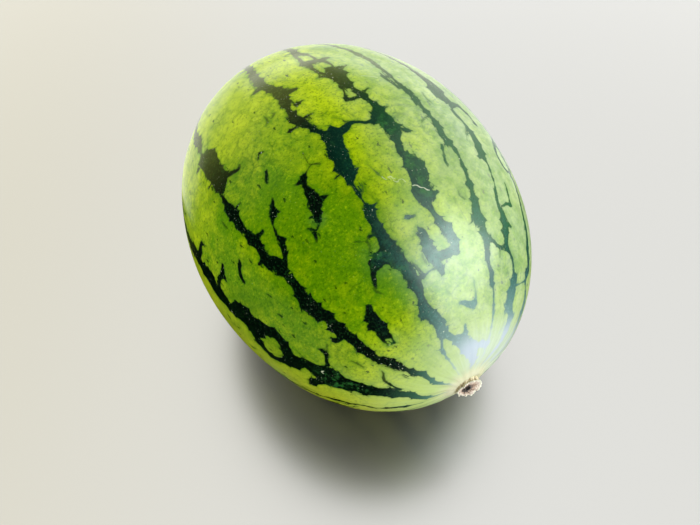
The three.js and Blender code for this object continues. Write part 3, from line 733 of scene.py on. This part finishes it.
ground = (flecks * 0.85).tint(ground, FLECK_GREEN)

# fine lines and cream where both run in to the stem, and a paler ring at the blossom
STEM_PALE = rgb(176, 198, 128)
STEM_CREAM = rgb(206, 200, 160)
BLOSSOM_PALE = rgb(170, 186, 110)
line_place = on_skin.node("CombineXYZ", (), {0: angle * 14.0, 1: turn_deg * 0.04, 2: 0.0})
lines = line_place.noise(1.0, 3.0, 0.62)
pale = turn_deg.rising(42, 13) * (0.78 + 0.22 * lines.rising(0.3, 0.66)) * 0.92
ground = pale.tint(ground, STEM_PALE)
cream = (turn_deg + (lines - 0.5) * 7.0).rising(14.5, 8)
ground = (cream * 0.85).tint(ground, STEM_CREAM)
ground = (turn_deg.rising(163, 176) * 0.5).tint(ground, BLOSSOM_PALE)

# the pale yellow spot that it lay on in the field
FIELD_SPOT = rgb(214, 206, 132)
under = on_skin.maths("SQRT", (along / 1.25) ** 2.0 + side * side)
bed = (under + (blots - 0.5) * 26.0).rising(38, 24) * high.rising(-50, -66)
ground = (bed * 0.85).tint(ground, FIELD_SPOT)
stripe = stripe * (1 - bed * 0.7) * (1 - cream * 0.75)

# a milky bloom on the upper shoulder, the far side and near the stem end: partly real wax bloom, partly
# painted reflection of the window's haze; and painted shade on the far top
SHOULDER_PALE = rgb(206, 228, 112)
FAR_TOP_SHADE_GREEN = rgb(100, 146, 20)
BLOOM_AND_HAZE_WHITE = rgb(204, 214, 218)
milky = 0.6 + 0.4 * blots.rising(0.35, 0.65)
# partly wax bloom, partly painted reflection: the shoulder paler where the window's haze lies
shoulder_bloom_and_haze = side.rising(-4, 14) * turn_deg.rising(34, 54) * turn_deg.rising(92, 66) * milky
ground = (shoulder_bloom_and_haze * 0.26).tint(ground, SHOULDER_PALE)
# painted shade: the ground darker green on the far top
ground = (side.rising(0, 20) * turn_deg.rising(80, 100) * 0.35).tint(ground, FAR_TOP_SHADE_GREEN)
colour = stripe.tint(ground, deep)
# partly wax bloom, partly painted highlight: bluish white near the stem end and on the upper and far side
bloom_and_haze = turn_deg.rising(36, 15) * side.rising(-18, 6) * (0.75 + 0.25 * lines.rising(0.3, 0.66))
bloom_and_haze = bloom_and_haze * turn_deg.rising(6, 14) * 0.6
bloom_and_haze = bloom_and_haze.most(side.rising(-22, -4) * turn_deg.rising(70, 44) * milky * 0.25)
bloom_and_haze = bloom_and_haze.most((side.rising(-8, 8) * 0.1 + side.rising(4, 50) * 0.18) * milky)
bloom_and_haze = bloom_and_haze * (1 - stripe * turn_deg.rising(20, 38) * 0.95) * (1 - away * 0.8)
colour = bloom_and_haze.tint(colour, BLOOM_AND_HAZE_WHITE)

# scratches, healed pale, and dry white specks that show on the dark
DRY_WHITE = rgb(214, 222, 190)
scratch = place.gap_to(kept("scratch_middle", "Vector")).rising(0.24, 0.1)
scratch = scratch * kept("scratch_outside").rising(1.6, 0.9)
gathered = place.shifted((7.0, 3.0, 11.0)).noise(9.0, 2.0, 0.5).rising(0.42, 0.66)
dust = place.shifted((31.0, 17.0, 5.0)).noise(0.8, 3.0, 0.7).rising(0.65, 0.69) * gathered
dust = dust * (0.12 + 0.88 * stripe)
colour = (scratch * (0.3 + 0.5 * stripe) + dust * 0.85).least(1.0).tint(colour, DRY_WHITE)

# the brown scar where the blossom sat
CORK_DARK, CORK_LIGHT = rgb(96, 74, 48), rgb(172, 148, 104)
from_axis = on_skin.maths("SQRT", side * side + high * high)
scar = (from_axis + (place.noise(1.4, 3.0, 0.6) - 0.5) * 2.4).rising(5.2, 3.9) * turn_deg.rising(160, 165)
cork = place.noise(0.9, 4.0, 0.7).rising(0.3, 0.7).tint(CORK_DARK, CORK_LIGHT)
colour = scar.tint(colour, cork)
skin.node_tree.links.new(colour.socket, shader.inputs["Base Color"])

wax = place.noise(9.0, 4.0, 0.6)
gloss = 0.19 + wax * 0.11 + scar * 0.35 + scratch * 0.2
skin.node_tree.links.new(gloss.socket, shader.inputs["Roughness"])
relief = place.noise(2.6, 3.0, 0.55) * 0.035 + grain * 0.012 + scratch * 0.1 + dust * 0.05
relief = relief + place.noise(13.0, 2.0, 0.5) * 0.22 + lines * (turn_deg.rising(22, 8) * 0.16)
relief = relief + scar * place.noise(0.8, 4.0, 0.7) * 0.5
bump = on_skin.node("Bump", (), {"Strength": 1.0, "Distance": MM, "Height": relief})
skin.node_tree.links.new(bump.socket, shader.inputs["Normal"])
shader.inputs["IOR"].default_value = 1.45
shader.inputs["Specular IOR Level"].default_value = 0.18
melon.data.materials.append(skin)
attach(melon, "root")
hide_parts("fruit")


# ---------------------------------------------------------------------------------------
# The torn stem
# The short stub left where the fruit was twisted off its vine: a fibrous wall with a ragged,
# dried lip round a dark hollow, standing in the dimple at the stem end.
# ---------------------------------------------------------------------------------------
STUMP_RADIUS = 5.6
STUMP_HEIGHT = 4.4
ROOT_DEPTH = 1.6
STUMP_LEAN = math.radians(7)
PITH_RADIUS = 1.7
PITH_AWAY = (1.1, -0.9)
PITH_DEPTH = 3.4
FIBRE_RIDGES, FIBRE_DEPTH = 11, 0.5
LIP_RAGGED = 0.9
STUMP_SIDES = 132
WALL_RINGS, HOLLOW_RINGS, FLOOR_RINGS = 9, 6, 3
BARK_CUTS = 14

bpy.ops.object.select_all(action="DESELECT")
bpy.ops.mesh.primitive_cylinder_add(
    vertices=STUMP_SIDES, radius=STUMP_RADIUS, depth=STUMP_HEIGHT + ROOT_DEPTH
)
stump = bpy.context.object
stump.name = "torn_stem"
bpy.ops.object.mode_set(mode="EDIT")
bpy.ops.mesh.select_mode(type="FACE")


def select_faces(chosen):
    """Selects only the faces of the piece in edit mode for which chosen is true."""
    bpy.ops.mesh.select_all(action="DESELECT")
    bpy.ops.object.mode_set(mode="OBJECT")
    for face in bpy.context.object.data.polygons:
        face.select = chosen(face)
    bpy.ops.object.mode_set(mode="EDIT")


TOP = (STUMP_HEIGHT + ROOT_DEPTH) / 2
select_faces(lambda face: face.normal.z > 0.9)
for _ in range(WALL_RINGS):
    bpy.ops.mesh.inset(thickness=(STUMP_RADIUS - PITH_RADIUS) / WALL_RINGS)
for _ in range(HOLLOW_RINGS):
    bpy.ops.mesh.extrude_region_move(TRANSFORM_OT_translate={"value": (0, 0, -PITH_DEPTH / HOLLOW_RINGS)})
for _ in range(FLOOR_RINGS):
    bpy.ops.mesh.inset(thickness=PITH_RADIUS / (FLOOR_RINGS + 0.6))
bpy.ops.mesh.poke()
select_faces(lambda face: abs(face.normal.z) < 0.1 and face.center.xy.length > STUMP_RADIUS * 0.9)
bpy.ops.mesh.subdivide(number_cuts=BARK_CUTS)
bpy.ops.object.mode_set(mode="OBJECT")

TORN_SLANT = 1.9
SLANT_WAY = math.radians(21)  # the lip stands highest on this side, which lies underneath
stalk = read_places(stump.data)
round_it = np.arctan2(stalk[:, 1], stalk[:, 0])
out = np.hypot(stalk[:, 0], stalk[:, 1])
up = stalk[:, 2] - (ROOT_DEPTH - TOP)
rise_share = np.clip(up / STUMP_HEIGHT, 0, 1)


def torn(around):
    """How high the ragged lip stands at an angle round the stub, from about -1 to 1."""
    return (
        0.42 * np.sin(2 * around + 0.6) + 0.33 * np.sin(5 * around + 1.9) + 0.25 * np.sin(9 * around + 0.4)
        + 0.2 * np.sin(17 * around + 2.2) + 0.14 * np.sin(29 * around + 1.1)
    )


# the wall's share from the pith to the bark, its fibres, and how it narrows and turns
at_top = up > STUMP_HEIGHT - 0.01
wall = np.clip((out - PITH_RADIUS) / (STUMP_RADIUS - PITH_RADIUS), 0, 1)
ridge = np.cos(FIBRE_RIDGES * round_it) + 0.45 * np.cos(23 * round_it + 1.3)
ridge = (ridge + 0.3 * np.cos(41 * round_it + 0.5)) * (0.35 + 0.65 * wall)
waist = 1 - 0.10 * np.sin(math.pi * rise_share) * wall + 0.05 * (1 - rise_share) * wall
grown_out = out * waist + FIBRE_DEPTH * 0.62 * ridge * rise_share**0.5 * wall
twist = round_it + 0.16 * rise_share * wall
# the break slants, tears and crumbles, and dishes in to the hollow
slant = TORN_SLANT * np.cos(round_it - SLANT_WAY) * out / STUMP_RADIUS - 0.9
tear = 0.7 * LIP_RAGGED * torn(round_it) * rise_share**2 * np.where(at_top, 0.35 + 0.65 * wall, wall)
lift = slant * rise_share + tear
crumb = 0.22 * np.sin(13 * round_it + 2.3 * out) * np.sin(2.6 * out + 3 * round_it) * rise_share**2
dished = -0.9 * (1 - wall) ** 1.5 * at_top
stalk[:, 0] = grown_out * np.cos(twist) + PITH_AWAY[0] * (1 - wall)
stalk[:, 1] = grown_out * np.sin(twist) + PITH_AWAY[1] * (1 - wall)
stalk[:, 2] = up + lift + crumb + dished

# It stands on the stem end, leaning a little, with its root in the fruit.
seat = rind(0.0, 0.0)
lean = np.array(Matrix.Rotation(math.pi / 2 + STUMP_LEAN, 3, "Y"))
standing = stalk @ lean.T + seat
write_places(stump.data, (standing @ lie.T + CENTRE) * MM)
bpy.ops.object.shade_smooth()

fibre = bpy.data.materials.new("torn_fibre")
fibre.use_nodes = True
dry = fibre.node_tree.nodes["Principled BSDF"]
on_fibre = Wire(fibre)
keep_on(stump.data, "height", up)
keep_on(stump.data, "outward", out)
keep_on(stump.data, "strand", np.stack([np.cos(round_it) * 5, np.sin(round_it) * 5, up * 0.22], -1))
height = on_fibre.node("Attribute", {"attribute_name": "height"}, (), "Fac")
outward = on_fibre.node("Attribute", {"attribute_name": "outward"}, (), "Fac")
strand = on_fibre.node("Attribute", {"attribute_name": "strand"}, (), "Vector")
here = on_fibre.node("TexCoord", (), (), "Object").stretched((1 / MM, 1 / MM, 1 / MM))
threads = strand.noise(0.5, 3.0, 0.6)
crumbs = here.noise(0.7, 4.0, 0.65)

# the dry bark outside, greener at its foot
BARK_DARK, BARK_PALE = rgb(160, 142, 102), rgb(222, 210, 172)
FOOT_GREEN = rgb(170, 182, 120)
BARK_BROWN = rgb(108, 78, 48)
bark = threads.rising(0.36, 0.64).tint(BARK_DARK, BARK_PALE)
bark = (height.rising(1.6, 0.2) * 0.6).tint(bark, FOOT_GREEN)
bark = (crumbs.rising(0.56, 0.72) * 0.7).tint(bark, BARK_BROWN)

# the torn lip, browner and creased inward, with a whitish rim round it
LIP_DARK, LIP_PALE = rgb(182, 154, 132), rgb(240, 230, 216)
INNER_BROWN = rgb(150, 104, 78)
CREASE_BROWN = rgb(62, 34, 22)
RIM_WHITE = rgb(226, 230, 210)
lip = crumbs.rising(0.35, 0.65).tint(LIP_DARK, LIP_PALE)
inner = (outward + (crumbs - 0.5) * 2.0).rising(4.4, 2.8)
lip = (inner * 0.75).tint(lip, INNER_BROWN)
lip = (threads.rising(0.52, 0.42) * (0.35 + 0.6 * inner)).tint(lip, CREASE_BROWN)
lip = (outward.rising(4.7, 5.3) * 0.8).tint(lip, RIM_WHITE)
bark = (height.rising(3.4, 4.3) * 0.85).tint(bark, lip)

# the hollow: dark brown dried pith, with near black painted in as shade in the hole
HOLLOW_SHADE_DARK, HOLLOW_BROWN = rgb(24, 15, 9), rgb(72, 46, 28)
hollow = (outward + (crumbs - 0.5) * 3.4).rising(2.9, 1.9) * height.rising(0.4, 0.8)
bark = hollow.tint(bark, crumbs.rising(0.4, 0.7).tint(HOLLOW_SHADE_DARK, HOLLOW_BROWN))
fibre.node_tree.links.new(bark.socket, dry.inputs["Base Color"])
coarse_fibre = threads * 0.5 + crumbs * 0.4
fibre_bump = on_fibre.node("Bump", (), {"Strength": 0.9, "Distance": MM, "Height": coarse_fibre})
fibre.node_tree.links.new(fibre_bump.socket, dry.inputs["Normal"])
dry.inputs["Roughness"].default_value = 0.8
stump.data.materials.append(fibre)
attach(stump, "root")
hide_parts("stem_stump")


# ---------------------------------------------------------------------------------------
# The floor, the lights and the camera
# A pale satin worktop and soft studio light: a window beyond the stem end, whose brightest
# panes only gleam in the wax, weaker light from behind, and the glow that the floor throws
# up. The camera looks down on the fruit from beside its stem end.
# ---------------------------------------------------------------------------------------
FLOOR_SIZE = 8
DAYLIT_GREY, LAMP_WARMED_GREY = rgb(112, 112, 110), rgb(110, 108, 99)
bpy.ops.object.select_all(action="DESELECT")
bpy.ops.mesh.primitive_plane_add(size=FLOOR_SIZE)
floor = bpy.context.object
floor.name = "worktop"
satin = bpy.data.materials.new("pale_worktop")
satin.use_nodes = True
sheen = satin.node_tree.nodes["Principled BSDF"]
spot = Wire(satin).node("TexCoord", (), (), "Object")
# painted light: the worktop warmer grey to the left, where warm lamp light falls, and cooler towards the
# window
leftward = spot.node("VectorMath", {"operation": "DOT_PRODUCT"}, {0: spot, 1: (-0.48, -0.87, 0.0)}, "Value")
plain = leftward.rising(-0.05, 0.3).tint(DAYLIT_GREY, LAMP_WARMED_GREY)
satin.node_tree.links.new(plain.socket, sheen.inputs["Base Color"])
sheen.inputs["Metallic"].default_value = 1.0
sheen.inputs["Roughness"].default_value = 0.3
floor.data.materials.append(satin)
floor.visible_glossy = False
floor.visible_shadow = False


def lit_only(name, things):
    """A collection of the only things that a light falls on."""
    group = bpy.data.collections.new(name)
    for thing in things:
        group.objects.link(thing)
    return group


on_fruit = lit_only("lit_fruit", [melon, stump])
on_floor = lit_only("lit_floor", [floor])


def way_to(azimuth, elevation):
    azimuth, elevation = math.radians(azimuth), math.radians(elevation)
    level = math.cos(elevation)
    return Vector((level * math.cos(azimuth), level * math.sin(azimuth), math.sin(elevation)))


def area_light(name, location, facing, wide, tall, radiance, colour, lit):
    """A rectangular light, unseen by the camera; radiance is how bright its face is."""
    bpy.ops.object.light_add(type="AREA", location=location)
    lamp = bpy.context.object
    lamp.name = name
    lamp.rotation_euler = facing
    lamp.data.shape = "RECTANGLE"
    lamp.data.size = wide
    lamp.data.size_y = tall
    lamp.data.energy = radiance * math.pi * wide * tall
    lamp.data.color = colour
    lamp.visible_camera = False
    lamp.light_linking.receiver_collection = lit
    return lamp


def soft_light(name, azimuth, elevation, distance, wide, tall, radiance, colour, lit=on_fruit):
    """A light that faces the fruit from a distance in m."""
    way = way_to(azimuth, elevation)
    facing = way.to_track_quat("Z", "Y").to_euler()
    return area_light(name, Vector(CENTRE * MM) + way * distance, facing, wide, tall, radiance, colour, lit)


def glare(*light):
    """A light that is only mirrored in the wax."""
    soft_light(*light).visible_diffuse = False


def dull_light(*light):
    """A light that isn't mirrored in the wax."""
    soft_light(*light).visible_glossy = False


DAYLIGHT, SKY = (0.97, 0.99, 1.0), (0.92, 0.97, 1.0)
WHITE, WARM_WHITE = (1.0, 1.0, 1.0), (1.0, 1.0, 0.97)
# name, azimuth, elevation, distance, width, height, radiance, colour
soft_light("window", 30, 21, 2.0, 2.25, 1.5, 3.2, DAYLIGHT)
glare("window_glare", 37, 29, 1.95, 1.85, 1.5, 16.5, SKY)
soft_light("window_top", 30, 55, 2.0, 1.4, 0.95, 2.6, DAYLIGHT)
glare("bright_pane", 38, 36, 1.9, 0.5, 0.5, 12.0, WHITE)
glare("window_edge", 32, 38, 2.0, 2.0, 1.6, 2.6, (0.9, 0.96, 1.0))
glare("window_in_floor", 15, -9, 1.95, 2.1, 1.0, 4.0, (1.0, 1.0, 0.96))
glare("room_above", 74, 58, 2.2, 2.2, 1.3, 3.2, (0.93, 1.0, 0.84))
soft_light("far_side", 90, 26, 2.2, 2.3, 1.8, 2.0, (1.0, 1.0, 0.98))
glare("far_glare", 98, 14, 2.2, 2.4, 1.5, 1.6, (0.95, 1.0, 0.88))
soft_light("behind_low", 150, 9, 2.3, 2.6, 0.75, 3.4, (1.0, 0.99, 0.95))
dull_light("behind_high", -164, 42, 2.3, 2.4, 1.6, 3.0, (1.0, 0.98, 0.92))
glare("wall_behind", -178, 6, 2.3, 2.0, 0.7, 0.5, WARM_WHITE)
glare("floor_behind", 158, -24, 2.0, 4.8, 1.5, 1.3, WARM_WHITE)
dull_light("left_fill", -160, 24, 2.3, 3.2, 1.5, 3.3, (1.0, 0.95, 0.8))

GLOW_AWAY, GLOW_WIDE, GLOW_TALL, GLOW_HEIGHT = 0.62, 0.8, 1.2, 2 * MM


def floor_glow(name, azimuth, radiance, colour):
    """Light that the pale floor throws up at the fruit's sides from one way off."""
    location = way_to(azimuth, 0) * GLOW_AWAY + Vector((0, 0, GLOW_HEIGHT))
    facing = (math.pi, 0, math.radians(azimuth))
    lamp = area_light(name, location, facing, GLOW_WIDE, GLOW_TALL, radiance, colour, on_fruit)
    lamp.visible_glossy = False


floor_glow("glow_left", -119, 1.3, (1.0, 0.97, 0.86))
floor_glow("glow_near", -29, 2.5, (1.0, 0.99, 0.94))
floor_glow("glow_right", 61, 1.2, WHITE)
floor_glow("glow_far", 151, 0.8, WHITE)
soft_light("ceiling", 0, 90, 2.5, 22, 22, 4.7, (1.0, 1.0, 0.99), on_floor)

scene = bpy.context.scene
world = bpy.data.worlds.new("room")
scene.world = world
world.use_nodes = True
WALL_GREY = rgb(226, 226, 222)
backdrop = world.node_tree.nodes["Background"]
backdrop.inputs["Color"].default_value = WALL_GREY
backdrop.inputs["Strength"].default_value = 1.0
world.cycles_visibility.diffuse = False
world.cycles_visibility.glossy = False
scene.view_settings.view_transform = "Standard"
scene.view_settings.look = "None"

CAMERA_FROM_CENTRE = (169.9, -95.6, 247.8)
CAMERA_HEADING, CAMERA_TILT, CAMERA_ROLL = 61.02, 34.62, -1.94
CAMERA_LENS = 33.17
bpy.ops.object.camera_add(location=(Vector(CAMERA_FROM_CENTRE) + Vector(CENTRE)) * MM)
camera = bpy.context.object
camera.name = "camera"
aim = Matrix.Rotation(math.radians(CAMERA_HEADING), 3, "Z")
aim = aim @ Matrix.Rotation(math.radians(CAMERA_TILT), 3, "X")
aim = aim @ Matrix.Rotation(math.radians(CAMERA_ROLL), 3, "Z")
camera.rotation_euler = aim.to_euler()
camera.data.lens = CAMERA_LENS
camera.data.sensor_width = 36
camera.data.clip_start = 0.01
scene.camera = camera
